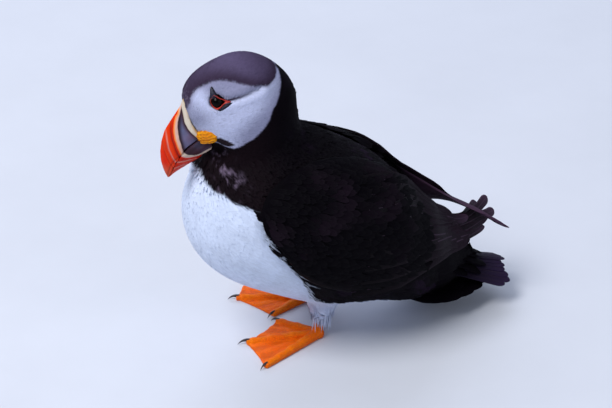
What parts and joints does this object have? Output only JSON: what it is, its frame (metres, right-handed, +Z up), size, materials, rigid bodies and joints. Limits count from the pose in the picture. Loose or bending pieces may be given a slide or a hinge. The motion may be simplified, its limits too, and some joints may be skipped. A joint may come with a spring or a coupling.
{
  "type": "standing atlantic puffin figure",
  "caption": "Life-size still model of a standing atlantic puffin, head bent to look down, with a deep banded bill, folded wings and webbed feet, for display or as set dressing.",
  "frame": {"origin": "on the floor, under the middle of the bird's bounding box", "axes": "+Z up, -Y towards the front of the bird, +X towards the bird's left side; the body lies along Y"},
  "size_m": [0.1278, 0.2162, 0.1886],
  "materials": {
    "plumage_black": "matte feathers, faint violet-brown sheen",
    "plumage_white": "soft matte down-like feathers",
    "plumage_face": "short dense matte feathers",
    "bill_horn": "satin horn with grooves",
    "rosette_skin": "soft wrinkled skin",
    "eye": "wet gloss",
    "eye_ring_skin": "soft bare skin",
    "foot_skin": "scaled and webbed skin, satin",
    "claw_horn": "satin dark horn"
  },
  "bodies": {
    "root": {"trunk": "plumage_white", "neck": "plumage_black", "head": "plumage_face", "bill_upper": "bill_horn", "bill_lower": "bill_horn", "tail": "plumage_black", "eye_left": "eye", "eye_ring_left": "eye_ring_skin", "rosette_left": "rosette_skin", "wing_left": "plumage_black", "leg_left": "plumage_white", "tarsus_left": "foot_skin", "foot_left": "foot_skin", "claw_left_inner": "claw_horn", "claw_left_middle": "claw_horn", "claw_left_outer": "claw_horn", "eye_right": "eye", "eye_ring_right": "eye_ring_skin", "rosette_right": "rosette_skin", "wing_right": "plumage_black", "leg_right": "plumage_white", "tarsus_right": "foot_skin", "foot_right": "foot_skin", "claw_right_inner": "claw_horn", "claw_right_middle": "claw_horn", "claw_right_outer": "claw_horn"}
  },
  "joints": []
}
